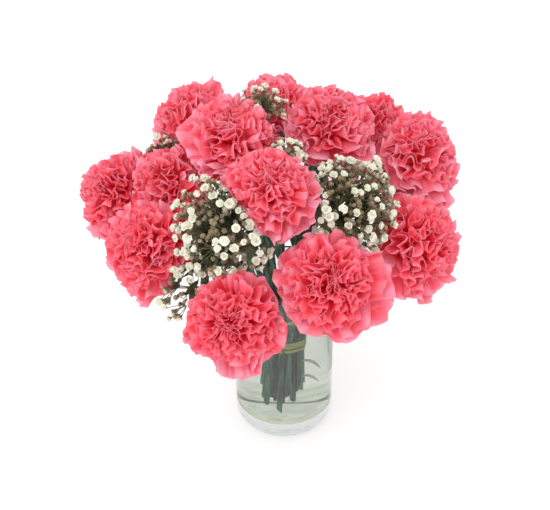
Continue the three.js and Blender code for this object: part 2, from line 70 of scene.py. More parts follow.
def turned(name, outline):
    """A closed body spun about Z from its outline, (out, up) points that begin and end on the axis."""
    nothing_selected()
    bpy.ops.mesh.primitive_plane_add(size=MM, enter_editmode=True)
    bpy.ops.mesh.merge(type="CENTER")
    bpy.ops.transform.translate(value=(outline[0][0], 0, outline[0][1]))
    for before, after in zip(outline, outline[1:]):
        step = (after[0] - before[0], 0, after[1] - before[1])
        bpy.ops.mesh.extrude_vertices_move(TRANSFORM_OT_translate={"value": step})
    bpy.ops.mesh.select_all(action="SELECT")
    bpy.ops.mesh.spin(steps=TURNED_STEPS, angle=2 * math.pi, center=(0, 0, 0), axis=(0, 0, 1))
    bpy.ops.mesh.select_all(action="SELECT")
    bpy.ops.mesh.remove_doubles(threshold=WELDED)
    bpy.ops.mesh.normals_make_consistent(inside=False)
    bpy.ops.object.mode_set(mode="OBJECT")
    made = bpy.context.object
    made.name = name
    bpy.ops.object.transform_apply()
    bpy.ops.object.shade_smooth_by_angle(angle=math.radians(TURNED_EDGE))
    return made


class Wire:
    """A socket that carries a value through the nodes, with the arithmetic that the finishes use."""

    def __init__(self, finish, socket):
        self.finish = finish
        self.socket = socket

    def _math(self, operation, *values):
        return self.finish.node("ShaderNodeMath", {"operation": operation}, *values)

    def __add__(self, other):
        return self._math("ADD", self, other)

    __radd__ = __add__

    def __mul__(self, other):
        return self._math("MULTIPLY", self, other)

    __rmul__ = __mul__

    def __sub__(self, other):
        return self._math("SUBTRACT", self, other)

    def __rsub__(self, other):
        return self._math("SUBTRACT", other, self)

    def band(self, low, high):
        """0 below low, 1 above high, and a smooth rise between."""
        settings = {"interpolation_type": "SMOOTHSTEP", "clamp": True}
        return self.finish.node("ShaderNodeMapRange", settings, self, low, high, 0.0, 1.0)


class Finish:
    """A material whose look comes from its nodes."""

    def __init__(self, name, **constants):
        self.material = bpy.data.materials.new(name)
        self.material.use_nodes = True
        self.nodes = self.material.node_tree.nodes
        self.links = self.material.node_tree.links
        self.surface = self.nodes["Principled BSDF"]
        for socket, value in constants.items():
            self.surface.inputs[socket.replace("_", " ")].default_value = value

    def node(self, kind, settings, *values, output=0, **named):
        """Any node: its settings first, then the values or wires of its sockets."""
        made = self.nodes.new(kind)
        for setting, value in settings.items():
            setattr(made, setting, value)
        for socket, value in [*enumerate(values), *named.items()]:
            key = socket.replace("_", " ") if isinstance(socket, str) else socket
            if isinstance(value, Wire):
                self.links.new(value.socket, made.inputs[key])
            else:
                made.inputs[key].default_value = value
        return Wire(self, made.outputs[output])

    def place(self):
        """Where a point of the piece is, in metres."""
        return self.node("ShaderNodeTexCoord", {}, output="Object")

    def height(self):
        """How far up a point of the piece is, in metres."""
        return self.node("ShaderNodeSeparateXYZ", {}, self.place(), output=2)

    def stretched(self, where, scale):
        """Places closer together or further apart along each axis."""
        return self.node("ShaderNodeMapping", {}, Vector=where, Scale=scale)

    def noise(self, size, detail=3.0, where=None):
        """Soft random spots of about that size in metres, from 0 to 1."""
        where = where or self.place()
        return self.node("ShaderNodeTexNoise", {}, Vector=where, Scale=1 / size, Detail=detail)

    def mixed(self, share, first, second):
        """Two colours mixed by a share."""
        made = self.nodes.new("ShaderNodeMix")
        made.data_type = "RGBA"
        for key, value in (("Factor_Float", share), ("A_Color", first), ("B_Color", second)):
            socket = next(s for s in made.inputs if s.identifier == key)
            if isinstance(value, Wire):
                self.links.new(value.socket, socket)
            else:
                socket.default_value = (*value, 1) if isinstance(value, tuple) else value
        return Wire(self, next(s for s in made.outputs if s.identifier == "Result_Color"))

    def bump(self, height, depth):
        """Raised by height, 0 to 1, of that depth in metres."""
        bump = self.node("ShaderNodeBump", {}, Strength=1.0, Distance=depth, Height=height)
        self.links.new(bump.socket, self.surface.inputs["Normal"])

    def colour(self, wire):
        self.links.new(wire.socket, self.surface.inputs["Base Color"])

    def rough(self, wire):
        self.links.new(wire.socket, self.surface.inputs["Roughness"])

    def glow(self, wire):
        self.links.new(wire.socket, self.surface.inputs["Emission Color"])

    def on(self, piece):
        piece.data.materials.clear()
        piece.data.materials.append(self.material)


clear_glass = Finish("clear_glass", Transmission_Weight=1.0, IOR=1.5)
thin_wall = clear_glass.mixed(clear_glass.noise(60 * MM), (0.87, 0.925, 0.91), (0.92, 0.955, 0.945))
layered = clear_glass.stretched(clear_glass.place(), (1.0, 1.0, 5.0))
streaky = clear_glass.noise(9 * MM, where=layered).band(0.38, 0.62)
thick_base = clear_glass.mixed(streaky, (0.56, 0.68, 0.64), (0.88, 0.93, 0.92))
above_base = clear_glass.height().band(12 * MM, 19 * MM)
clear_glass.colour(clear_glass.mixed(above_base, thick_base, thin_wall))
clear_glass.rough(clear_glass.noise(25 * MM) * 0.012)
clear_glass.bump(clear_glass.noise(18 * MM, detail=1.0), 0.06 * MM)

lip = VASE_WALL / 2
inner_radius = VASE_RADIUS - VASE_WALL
vase = turned("glass_vase", [
    (0, 0),
    *arc(VASE_RADIUS - HEEL_RADIUS, HEEL_RADIUS, HEEL_RADIUS, -90, 0, HEEL_STEPS),
    *arc(VASE_RADIUS - lip, VASE_HEIGHT - lip, lip, 0, 180, RIM_STEPS),
    *arc(
        inner_radius - INNER_HEEL_RADIUS, VASE_FLOOR + INNER_HEEL_RADIUS, INNER_HEEL_RADIUS,
        0, -90, INNER_HEEL_STEPS,
    ),
    (0, VASE_FLOOR),
])
clear_glass.on(vase)
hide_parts("vase")
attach(vase, "root")

# ------------------------------------------------------------------------------------------ the water
# It fills the vase to a finger's width below the rim, wets the glass all round, and climbs it in a thin
# curved edge. It has taken a little colour from the stems. Round the inner heel at the bottom it is painted
# paler and yellower: painted light for the bright cream band that the heel shows.

WATER_LEVEL = 120 * MM
MENISCUS = 1.6 * MM
MENISCUS_STEPS = 6
WETTING = 0.05 * MM

vase_water = Finish("vase_water", Transmission_Weight=1.0, IOR=1.33, Roughness=0.0)
murky = vase_water.mixed(vase_water.noise(40 * MM), (0.70, 0.70, 0.64), (0.77, 0.77, 0.71))
# Paler and yellower round the inner heel: painted light for the bright band that light through the heel
# makes.
above_painted_bright_band = vase_water.height().band(14 * MM, 28 * MM)
vase_water.colour(vase_water.mixed(above_painted_bright_band, (0.93, 0.91, 0.73), murky))
wet_radius = inner_radius + WETTING
wet_floor = VASE_FLOOR - WETTING
water = turned("vase_water", [
    (0, wet_floor),
    *arc(
        wet_radius - INNER_HEEL_RADIUS, wet_floor + INNER_HEEL_RADIUS, INNER_HEEL_RADIUS,
        -90, 0, INNER_HEEL_STEPS,
    ),
    (wet_radius, WATER_LEVEL + MENISCUS),
    *arc(wet_radius - MENISCUS, WATER_LEVEL + MENISCUS, MENISCUS, -10, -90, MENISCUS_STEPS),
    (0, WATER_LEVEL),
])
vase_water.on(water)
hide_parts("water")
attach(water, "root")

# ------------------------------------------------------------------------------------------ the stems
# Each carnation is one cut stem: smooth, grey-green and waxy, swollen at its joints, with pairs of narrow
# leaves at some of them, and ending in the calyx, a green tube that holds the petals.
# They are tied in the vase and bend out over its rim, each to its own place in the round bunch.

# Each bloom: the middle of its widest ring of petals, its width, and the way it faces, as the bearing
# from the front towards +X and the lean from upright. Millimetres and degrees.
BLOOMS = (
    ((-37, -107, 181), 79, (-12, 62)), ((31, -95, 203), 80, (8, 46)), ((-97, -47, 202), 84, (-48, 54)),
    ((-127, 20, 204), 79, (-62, 50)), ((-12, -51, 252), 78, (-5, 34)), ((-38, 6, 260), 86, (-20, 8)),
    ((-69, 57, 245), 82, (-105, 28)), ((-6, 64, 250), 80, (178, 20)), ((34, 27, 258), 83, (60, 20)),
    ((67, 62, 235), 82, (110, 32)), ((100, 34, 230), 83, (72, 40)), ((95, -36, 196), 86, (58, 52)),
    ((-84, 0, 223), 84, (-70, 36)), ((-40, 104, 200), 78, (-160, 56)), ((38, 108, 196), 78, (160, 56)),
    ((-102, 72, 180), 78, (-122, 60)), ((97, 64, 172), 78, (120, 60)),
)
# Each spray of baby's breath: the middle of its florets, its width, and how many florets it bears.
SPRAYS = (
    ((46, -36, 227), 76, 300), ((-43, -62, 226), 78, 310), ((-18, 34, 268), 38, 60), ((-92, 30, 234), 30, 26),
    ((0, -18, 260), 26, 40), ((0, 114, 166), 58, 66), ((-70, -80, 184), 42, 44),
)
DOME_CENTRE = np.array([-6, 4, 150]) * MM
TIE_CENTRE = np.array([1, 0, 84]) * MM
BUNCH_FOOT = np.array([-1, -3, 0]) * MM
STEM_PITCH = 4.2 * MM
STEM_RADIUS = 1.85 * MM
SPRAY_STEM_RADIUS = 0.9 * MM
LOWEST_CUT = 24 * MM
HIGHEST_CUT = 48 * MM
CUT_STEP = 0.618
BUNCH_SPREAD = 0.005 / MM
# A stem leans from the tie towards its head, and bends over the rim of the vase where it comes to it.
MOUTH_LEVEL = 148 * MM
MOUTH_REACH = 33 * MM
MOUTH_SHARE = 1.7
MOUTH_BEND = 1.35
CALYX_LENGTH = 28 * MM
CALYX_RADIUS = 7 * MM
RING_ABOVE_CALYX = 14 * MM
HONEYCOMB_ROWS = 3
SWAP_GAIN = 1e-15


def unit(vector):
    return vector / np.linalg.norm(vector)


class Head:
    """One bloom or spray, and the stem that carries it."""

    def __init__(self, entry, index, is_bloom):
        at, width, third = entry
        self.centre = np.array(at) * MM
        self.width = width * MM
        self.is_bloom = is_bloom
        if is_bloom:
            bearing, lean = np.radians(third)
            out = math.sin(lean)
            self.axis = np.array([out * math.sin(bearing), -out * math.cos(bearing), math.cos(lean)])
            depth = RING_ABOVE_CALYX + CALYX_LENGTH
        else:
            self.florets = third
            self.axis = unit(self.centre - DOME_CENTRE)
            depth = self.width / 2
        self.across = unit(np.cross((0, 0, 1), self.axis))
        self.along = np.cross(self.axis, self.across)
        self.foot = self.centre - self.axis * depth
        self.calyx_top = self.centre - self.axis * RING_ABOVE_CALYX
        self.radius = STEM_RADIUS if is_bloom else SPRAY_STEM_RADIUS
        self.cut_height = LOWEST_CUT + (HIGHEST_CUT - LOWEST_CUT) * ((index * CUT_STEP) % 1)
        # Where the stem leaves the vase: on its way to the head, and never past the rim.
        out = self.foot - TIE_CENTRE
        spot = (TIE_CENTRE + out * ((MOUTH_LEVEL - TIE_CENTRE[2]) / out[2]) ** MOUTH_SHARE)[:2]
        reach = np.linalg.norm(spot)
        spot = spot * MOUTH_REACH * math.tanh(reach / MOUTH_REACH) / reach
        self.mouth = np.array([*spot, MOUTH_LEVEL])

    def stand(self, place):
        """The stem's own place in the tie, and from it where the stem is cut."""
        below = TIE_CENTRE[2] - self.cut_height
        self.tied = TIE_CENTRE + place
        drift = (BUNCH_FOOT - TIE_CENTRE) * below / TIE_CENTRE[2]
        self.cut = TIE_CENTRE + place * (1 + BUNCH_SPREAD * below) + drift
        self.cut[2] = self.cut_height

    def stem_points(self, shares):
        """Points of the stem between the tie, 0, and the foot of the head, 1."""
        inside = self.mouth - self.tied
        over = self.foot - self.mouth
        hold = np.linalg.norm(over)
        turn = np.linalg.norm(inside) / (np.linalg.norm(inside) + hold)
        start = unit(inside * (MOUTH_BEND, MOUTH_BEND, 1))
        held = (self.mouth, self.mouth + start * hold / 3, self.foot - self.axis * hold / 3, self.foot)
        points = []
        for share in shares:
            if share <= turn:
                rise = share / turn
                points.append(self.tied + inside * (rise ** MOUTH_BEND, rise ** MOUTH_BEND, rise))
            else:
                way = (share - turn) / (1 - turn)
                weights = ((1 - way) ** 3, 3 * (1 - way) ** 2 * way, 3 * (1 - way) * way ** 2, way ** 3)
                points.append(sum(w * p for w, p in zip(weights, held)))
        return points

    def from_head(self, bearing, out, height):
        """Offsets from the middle of the head: a bearing round its axis, a distance from it, and a height."""
        return (
            np.multiply.outer(out * np.cos(bearing), self.across)
            + np.multiply.outer(out * np.sin(bearing), self.along)
            + np.multiply.outer(height, self.axis)
        )


heads = [Head(entry, i, i < len(BLOOMS)) for i, entry in enumerate(BLOOMS + SPRAYS)]
blooms = heads[:len(BLOOMS)]
sprays = heads[len(BLOOMS):]

# In the tie the stems stand in a honeycomb. Two stems swap places wherever that brings both nearer to
# their heads' sides, so that none cross on the way up.
places = [
    (STEM_PITCH * (column + row / 2), STEM_PITCH * row * math.sin(math.radians(60)))
    for row in range(-HONEYCOMB_ROWS, HONEYCOMB_ROWS + 1)
    for column in range(-HONEYCOMB_ROWS, HONEYCOMB_ROWS + 1)
]
places.sort(key=lambda place: (round(math.hypot(*place), 9), round(place[1], 9), place[0]))
places = [np.array([x, y, 0]) for x, y in places[:len(heads)]]
swapped = True
while swapped:
    swapped = False
    for i in range(len(heads)):
        for j in range(i + 1, len(heads)):
            apart = (heads[i].mouth - heads[j].mouth) * (1, 1, 0)
            if apart @ (places[i] - places[j]) < -SWAP_GAIN:
                places[i], places[j] = places[j], places[i]
                swapped = True
for head, place in zip(heads, places):
    head.stand(place)

STALK_SIDES = 12
STALK_SHARES = np.linspace(0, 1, 25)[:-1]
JOINT_RADIUS = 2.8 * MM
JOINTS = (0.22, 0.55, 0.8)
JOINT_HALF = 0.012
CALYX_STEPS = ((0, 2.4), (1.2, 4.2), (4, 5.3), (10, 6.3), (18, 6.7), (25, 7.0), (28, 7.6))


def wired(mesh_name, points, faces):
    """A mesh object at the origin from points in the row frame."""
    mesh = bpy.data.meshes.new(mesh_name)
    mesh.from_pydata([tuple(p) for p in points], [], faces)
    made = bpy.data.objects.new(mesh_name, mesh)
    bpy.context.scene.collection.objects.link(made)
    return made


def rod(path, radii, sides):
    """Points and faces of a closed round rod along a path, with its own radius at each point."""
    path = np.array(path)
    across = np.array([1.0, 0.0, 0.0])
    angles = np.arange(sides) * 2 * math.pi / sides
    points = []
    for i, point in enumerate(path):
        forward = unit(path[min(i + 1, len(path) - 1)] - path[max(i - 1, 0)])
        across = unit(across - forward * (across @ forward))
        along = np.cross(forward, across)
        ring = np.multiply.outer(np.cos(angles), across) + np.multiply.outer(np.sin(angles), along)
        points.extend(point + ring * radii[i])
    faces = []
    for i in range(len(path) - 1):
        for k in range(sides):
            a, b = i * sides + k, i * sides + (k + 1) % sides
            faces.append((a, b, b + sides, a + sides))
    faces.append(tuple(reversed(range(sides))))
    last = (len(path) - 1) * sides
    faces.append(tuple(range(last, last + sides)))
    return points, faces


class Pile:
    """Bodies gathered into one mesh."""

    def __init__(self):
        self.points = []
        self.faces = []

    def add(self, points, faces):
        start = len(self.points)
        self.points.extend(points)
        self.faces.extend(tuple(start + k for k in face) for face in faces)

    def made(self, name):
        return wired(name, self.points, self.faces)


LEAF_LENGTH = 46 * MM
LEAF_WIDTH = 6.4 * MM
LEAF_SHARE = 0.87
LEAF_DROOP = 0.4
LEAF_RISE = -0.12
LEAF_THICKNESS = 0.7 * MM
LEAF_EDGE = 0.05
LEAF_FOOT = 0.75
LEAF_BELLY = 0.9
LEAF_TAPER = 2.2
LEAF_TIP = 0.15 * MM
LEAF_FOLD = 0.35
LEAF_ROWS = 9
LEAF_COLUMNS = 5
LEAST_LEAFY_LEAN = math.radians(49)
# How far up the stem the pairs of leaves inside the bunch grow.
UPPER_LEAVES = (0.55, 0.78, 0.92, 0.66, 0.85, 0.72)
UPPER_LEAF_LENGTH = 34.5 * MM
UPPER_LEAF_LEAN = 0.45
UPPER_LEAF_DROOP = 0.15
NEARBY = 0.02
# Each leaf left under water: how far up the cut end it sits, the way it starts out, its length.
WET_LEAVES = ((0.6, (0.80, -0.30, 0.40), 19), (0.25, (0.75, -0.1, 0.2), 14))
WET_LEAF_WIDTH = 3.4 * MM
WET_LEAF_DROOP = 0.8
CUT_SLANT = 1.3
CUT_TURN = 2.4


def leaf(root, along, length, width, droop, rows=LEAF_ROWS, columns=LEAF_COLUMNS):
    """A narrow leaf, folded a little along its rib, that clasps the stem and curls over."""
    across = unit(np.cross((0, 0, 1), along))
    up = np.cross(along, across)
    points = []
    for row in range(rows):
        way = row / (rows - 1)
        middle = root + along * length * way - np.array([0, 0, droop * length * way * way])
        half = width / 2 * (LEAF_FOOT + LEAF_BELLY * way) * (1 - way ** LEAF_TAPER) + LEAF_TIP
        for face in (1, -1):
            for column in range(columns):
                u = 2 * column / (columns - 1) - 1
                fold = half * LEAF_FOLD * abs(u)
                thick = LEAF_THICKNESS / 2 * (1 + LEAF_EDGE - abs(u)) * face
                points.append(middle + across * half * u * face + up * (fold + thick))
    count = 2 * columns
    faces = []
    for row in range(rows - 1):
        for k in range(count):
            a, b = row * count + k, row * count + (k + 1) % count
            faces.append((a, b, b + count, a + count))
    faces.append(tuple(reversed(range(count))))
    last = (rows - 1) * count
    faces.append(tuple(range(last, last + count)))
    return points, faces


waxy_stem = Finish("waxy_stem", Sheen_Weight=0.06)
lengthwise = waxy_stem.stretched(waxy_stem.place(), (1.0, 1.0, 0.08))
bloomed = waxy_stem.noise(2.5 * MM, detail=2.0, where=lengthwise).band(0.35, 0.65)
waxy_stem.colour(waxy_stem.mixed(bloomed, (0.02, 0.085, 0.05), (0.15, 0.33, 0.23)))
waxy_stem.rough(waxy_stem.noise(3 * MM) * 0.25 + 0.38)
waxy_stem.bump(waxy_stem.noise(0.8 * MM), 0.05 * MM)


def only(piece):
    """The piece alone selected and active."""
    nothing_selected()
    piece.select_set(True)
    bpy.context.view_layer.objects.active = piece


def finished(piece, finish, angle=50):
    """Normals turned outwards, soft shading, and the finish."""
    only(piece)
    bpy.ops.object.mode_set(mode="EDIT")
    bpy.ops.mesh.select_all(action="SELECT")
    bpy.ops.mesh.normals_make_consistent(inside=False)
    bpy.ops.object.mode_set(mode="OBJECT")
    bpy.ops.object.shade_smooth_by_angle(angle=math.radians(angle))
    finish.on(piece)


for index, head in enumerate(blooms):
    path = [head.cut, *head.stem_points(STALK_SHARES)]
    radii = [STEM_RADIUS]
    for share in STALK_SHARES:
        swell = sum(math.exp(-((share - joint) / JOINT_HALF) ** 2) for joint in JOINTS)
        radii.append(STEM_RADIUS + (JOINT_RADIUS - STEM_RADIUS) * min(swell, 1))
    for height, radius in CALYX_STEPS:
        path.append(head.foot + head.axis * height * MM)
        radii.append(radius * MM)
    pile = Pile()
    points, faces = rod(path, radii, STALK_SIDES)
    # The end is cut at a slant, each stem's another way.
    slant = np.array([math.cos(index * CUT_TURN), math.sin(index * CUT_TURN), 0])
    for k in range(STALK_SIDES):
        drop = CUT_SLANT * ((points[k] - head.cut) @ slant + STEM_RADIUS)
        points[k] = points[k] - np.array([0, 0, drop])
    pile.add(points, faces)
    for k, share in enumerate(UPPER_LEAVES):
        below, root, above = head.stem_points([share - NEARBY, share, share + NEARBY])
        upwards = unit(above - below)
        sideways = unit(np.cross(upwards, (math.cos(index + k), math.sin(index + k), 0)))
        for side in (-1, 1):
            along = unit(upwards + sideways * side * UPPER_LEAF_LEAN)
            pile.add(*leaf(root, along, UPPER_LEAF_LENGTH, LEAF_WIDTH, UPPER_LEAF_DROOP))
    # A stem that leans far out bears one more pair, which hangs out of the bunch.
    if head.axis[2] < math.cos(LEAST_LEAFY_LEAN):
        outward = unit(head.axis * (1, 1, 0))
        root = head.stem_points([LEAF_SHARE])[0]
        for side in (-1, 1):
            sideways = np.array([-outward[1], outward[0], 0]) * side
            along = unit(sideways + outward + np.array([0, 0, LEAF_RISE]))
            pile.add(*leaf(root, along, LEAF_LENGTH, LEAF_WIDTH, LEAF_DROOP))
    stalk = pile.made(f"cut_stem_{index + 1:02d}")
    finished(stalk, waxy_stem)
    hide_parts(f"stem_{index + 1:02d}")
    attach(stalk, "root")

# Two thin leaves were left on the outermost stem at the right. The water has bleached them. They also glow
# a little in that pale green: painted light for the light that the glass and water keep from them.
soaked_leaf = Finish("soaked_leaf", Roughness=0.45, Emission_Strength=0.16)
pale_green_and_painted_glow = soaked_leaf.mixed(soaked_leaf.noise(4 * MM), (0.55, 0.66, 0.54), (0.92, 0.95, 0.85))
soaked_leaf.colour(pale_green_and_painted_glow)
# Painted glow: the leaves shine with their own pale green, though no lamp is in the water.
soaked_leaf.glow(pale_green_and_painted_glow)
outermost = max(range(len(blooms)), key=lambda index: blooms[index].tied[0])
head = blooms[outermost]
pile = Pile()
for share, along, length in WET_LEAVES:
    root = head.cut + (head.tied - head.cut) * share
    pile.add(*leaf(root, unit(np.array(along)), length * MM, WET_LEAF_WIDTH, WET_LEAF_DROOP))
soaked = pile.made("soaked_leaves")
finished(soaked, soaked_leaf)
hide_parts(f"stem_{outermost + 1:02d}")
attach(soaked, "root")

# -------------------------------------------------------------------------------------------- the tie
# A yellow-green elastic band, wound three times round the stems where the bunch is narrowest. It runs
# straight from each outer stem to the next.

BAND_HALF = 1.5 * MM
BAND_THICKNESS = 1 * MM
BAND_FILL = 0.95
BAND_WANDER = 0.5 * MM
BAND_TURNS = 3
BAND_STEPS = 96
BAND_SIDES = 8

elastic = Finish("elastic_band", Roughness=0.6)
elastic.colour(elastic.mixed(elastic.noise(4 * MM), (0.55, 0.56, 0.13), (0.80, 0.77, 0.28)))
elastic.bump(elastic.noise(0.7 * MM), 0.05 * MM)
pile = Pile()
for turn in range(BAND_TURNS):
    rise = (turn - (BAND_TURNS - 1) / 2) * 2 * BAND_HALF
    angles = np.arange(BAND_STEPS) * 2 * math.pi / BAND_STEPS
    outs = np.column_stack([np.cos(angles), np.sin(angles), np.zeros(BAND_STEPS)])
    corners = np.array([max(blooms, key=lambda head: head.tied @ out).tied for out in outs])
    around = corners + outs * (STEM_RADIUS + BAND_THICKNESS)
    around[:, 2] += rise + BAND_WANDER * np.sin(angles + 2 * turn)
    points = []
    for middle, out in zip(around, outs):
        for side in range(BAND_SIDES):
            angle = 2 * math.pi * side / BAND_SIDES
            up = np.array([0, 0, BAND_HALF * BAND_FILL * math.sin(angle)])
            points.append(middle + out * BAND_THICKNESS / 2 * math.cos(angle) + up)
    faces = []
    for k in range(BAND_STEPS):
        for side in range(BAND_SIDES):
            here, after = k * BAND_SIDES, (k + 1) % BAND_STEPS * BAND_SIDES
            following = (side + 1) % BAND_SIDES
            faces.append((here + side, here + following, after + following, after + side))
    pile.add(points, faces)
tie = pile.made("elastic_tie")
finished(tie, elastic)
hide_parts("tie")
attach(tie, "root")

# ----------------------------------------------------------------------------------------- the blooms
# An open carnation has about fifty petals: a narrow claw in the calyx, and a fan with a ruffled edge that
# looks cut with pinking shears. The guard petals lie flat, and further in they stand up, narrower and
# folded ever deeper, until they fill the crown. Where blooms touch, their petals press together.

USUAL_WIDTH = 76 * MM
GAP = 0.35 * MM
LEAST_ROOM = 4 * MM
FREE_SHARE = 0.84
UNDER_CALYX = 1 * MM
STEM_MARGIN = 1.4 * MM
CALYX_MARGIN = 0.8 * MM
STEM_STEPS = 36
FIRST_STEM_SHARE = 0.3
CALYX_PARTS = 8
PETAL_COLUMNS = 90
PETAL_ROWS = 5
PETAL_THICKNESS = 0.2 * MM
ROW_CROWDING = 0.75
EDGE_ROW = 0.999

# From the guard petals to the crown. root, bend and tip are (distance from the bloom's axis, height over
# the widest ring) of the petal's middle line, width is across the fan, and ruffle is how deep its folds are,
# in millimetres for the usual bloom. waves is their number, twist is in degrees, and pale is from 0 to 1.
RING_WORDS = ("petals", "root", "bend", "tip", "width", "ruffle", "waves", "twist", "pale")
RINGS = [dict(zip(RING_WORDS, ring)) for ring in (
    (5, (5.5, -13), (10, -5), (40.5, -8), 50, 2.9, 2.6, 8, 0.9),
    (6, (5.3, -13), (10, -3), (38.5, -2), 46, 3.3, 3.0, 14, 0.7),
    (6, (5.0, -13), (10, 2), (33, 5), 40, 3.5, 3.3, 26, 0.4),
    (7, (4.6, -13), (10, 7), (28, 12.5), 37, 3.5, 3.4, 45, 0.25),
    (8, (4.0, -13), (9, 11), (22.5, 18), 34, 3.5, 3.4, 65, 0.2),
    (7, (3.2, -13), (7, 13), (16.5, 22), 32, 3.4, 3.4, 80, 0.15),
    (5, (2.2, -13), (5, 14), (10.5, 24.5), 30, 3.3, 3.3, 90, 0.15),
    (3, (1.2, -13), (3, 14), (4, 25.5), 28, 3.2, 3.2, 90, 0.15),
)]
# How much paler each bloom is than the usual one: the two in front are the deepest, the upper ones pale.
PALER = {
    1: -0.35, 2: -0.35, 3: -0.25, 4: -0.1, 5: -0.05, 6: 0.1, 7: 0.1, 8: 0.15, 9: 0.2, 10: 0.15, 11: 0.2,
    12: -0.15, 13: 0.15,
}


def walls_of(head):
    """Flat walls between a head and its neighbours and round every other stem.

    They are normals, distances, and the side of the seam: 1 or -1 between two heads, 0 at a stem.
    """
    spots, margins, sides = [], [], []
    for other in heads:
        if other is head:
            continue
        apart = np.linalg.norm(other.centre - head.centre)
        spots.append(other.centre)
        margins.append(apart * other.width / (head.width + other.width))
        sides.append(1 if heads.index(other) > heads.index(head) else -1)
        for point in other.stem_points(np.linspace(FIRST_STEM_SHARE, 1, STEM_STEPS + 1)):
            spots.append(point)
            margins.append(other.radius + STEM_MARGIN)
            sides.append(0)
        if other.is_bloom:
            for k in range(CALYX_PARTS + 1):
                spots.append(other.foot + (other.calyx_top - other.foot) * k / CALYX_PARTS)
                margins.append(CALYX_RADIUS + CALYX_MARGIN)
                sides.append(0)
    offsets = np.array(spots) - head.centre
    lengths = np.linalg.norm(offsets, axis=1)
    reaches = lengths - np.array(margins) - GAP
    near = reaches < head.width
    normals = (offsets / lengths[:, None])[near]
    reaches = np.maximum(reaches[near], LEAST_ROOM)
    sides = np.array(sides)[near]
    if head.is_bloom:
        normals = np.vstack([normals, -head.axis])
        reaches = np.append(reaches, RING_ABOVE_CALYX + UNDER_CALYX)
        sides = np.append(sides, 0)
    return normals, reaches, sides


SEAM_WAVES = ((0.21, 0.13, 0.09), (-0.11, 0.19, 0.16), (0.08, -0.2, 0.17))
SEAM_DEPTH = 1.5 * MM
SIDELONG = 1e-6
LEAST_LENGTH = 1e-9
NO_WALL = 1.0
FURTHEST_SEAM = 0.2


def seam(spots):
    """The wall between two heads is not flat: how far it is pushed at each spot."""
    return SEAM_DEPTH * sum(np.sin(spots / MM @ np.array(wave) + k) for k, wave in enumerate(SEAM_WAVES))


def rooms_of(head, directions, among):
    """How far it is to the nearest of some walls in each direction, and which wall that is."""
    facing = directions @ head.walls[0].T
    reaches = head.walls[1] / np.maximum(facing, SIDELONG)
    rooms = np.where((facing > SIDELONG) & among(facing), reaches, NO_WALL)
    return rooms.min(axis=1), rooms.argmin(axis=1)


def pressed(head, offsets):
    """Places from offsets: what reaches a wall is pressed back before it would pass it."""
    lengths = np.maximum(np.linalg.norm(offsets, axis=1), LEAST_LENGTH)
    directions = offsets / lengths[:, None]
    room, nearest = rooms_of(head, directions, lambda facing: True)
    spots = head.centre + directions * np.minimum(room, FURTHEST_SEAM)[:, None]
    room = np.maximum(room + seam(spots) * head.walls[2][nearest], LEAST_ROOM)
    over = np.maximum(lengths - FREE_SHARE * room, 0) / ((1 - FREE_SHARE) * room)
    held = np.where(over > 0, room * (1 - (1 - FREE_SHARE) * np.exp(-over)), lengths)
    return head.centre + directions * held[:, None]


def smooth(low, high, value):
    """0 below low, 1 above high, and a smooth rise between."""
    share = np.clip((value - low) / (high - low), 0, 1)
    return share * share * (3 - 2 * share)


# The flat pattern that every petal is bent from: u runs across it from -1 to 1, v from the claw to the edge.
nothing_selected()
bpy.ops.mesh.primitive_grid_add(x_subdivisions=PETAL_COLUMNS, y_subdivisions=PETAL_ROWS, size=2)
pattern = bpy.context.object
pattern_faces = np.array([tuple(p.vertices) for p in pattern.data.polygons])
flat = np.array([tuple(v.co) for v in pattern.data.vertices])
bpy.data.objects.remove(pattern)
FLAT_U = flat[:, 0]
FLAT_V = ((flat[:, 1] + 1) / 2) ** ROW_CROWDING
column = np.round((FLAT_U + 1) / 2 * PETAL_COLUMNS).astype(int)
on_edge = FLAT_V > EDGE_ROW

PETAL_LENGTH = 44 * MM
CLAW_SHARE = 0.09
CLAW_ENDS = (0.1, 0.85)
SHOULDER = 0.5
EDGE_ARCH = 0.04
SHOULDER_ARCH = 0.14
TOOTH = 0.6 * MM
FINE_RUFFLE = 1.9 * MM
SIDE_SWING = 0.32
# Painted light and shade on the folds: the ridges paler, the valleys deeper.
PAINTED_FOLD_SHADING = 0.3
WRAP = 1.25
NARROWEST = 5 * MM
# Where on the way from the claw, 0, to the edge, 1, each of these begins and is whole.
RUFFLED = (0.3, 1.02)
RUFFLE_RISE = 1.3
FINELY_RUFFLED = (0.5, 1.0)
LESS_FINE = 0.5
TWISTED = (0.2, 0.8)
FOLD_SHADED = (0.4, 1)
# Where a petal feels for a neighbour, how squarely it must face it, and how far it grows to meet it. Past
# the last two shares of its own reach, the neighbour is too far off.
LOOKS = np.array([-0.45, -0.2, 0, 0.2, 0.45])
FACED = 0.8
FULL = 1.02
MOST_GROWN = 1.12
TOO_FAR = (1.35, 1.7)
# What makes no two petals alike, each from the least to the most.
WIDTHS = (0.92, 1.08)
RAGGED = (0, 0.4)
REACHES = (0.96, 1.05)
TIP_SHIFTS = (-1.5, 1.5)
BEND_SHIFTS = (-2, 2)
DEPTHS = (0.8, 1.15)
WANDERS = (0.3, 0.9)
WANDER_WAVES = (1.5, 3)
WAVES = (0.85, 1.15)
FINE_DEPTHS = (0.6, 1.1)
FINE_WAVES = (2.0, 2.6)
CUPS = (-0.1, 0.2)
ANY_PHASE = (0, 6.3)


def growth(head, ring, bearing):
    """How much a petal grows to meet the nearest neighbour that it faces."""
    out, height = ring["tip"]
    ahead = head.from_head(bearing + LOOKS, np.full(len(LOOKS), out), np.full(len(LOOKS), height))
    ahead = ahead / np.linalg.norm(ahead, axis=1)[:, None]
    rooms, _ = rooms_of(head, ahead, lambda facing: (head.walls[2] != 0) & (facing > FACED))
    room = rooms.min() / (head.width / 2 * FULL)
    return 1 + (min(max(room, 1), MOST_GROWN) - 1) * (1 - smooth(*TOO_FAR, room))


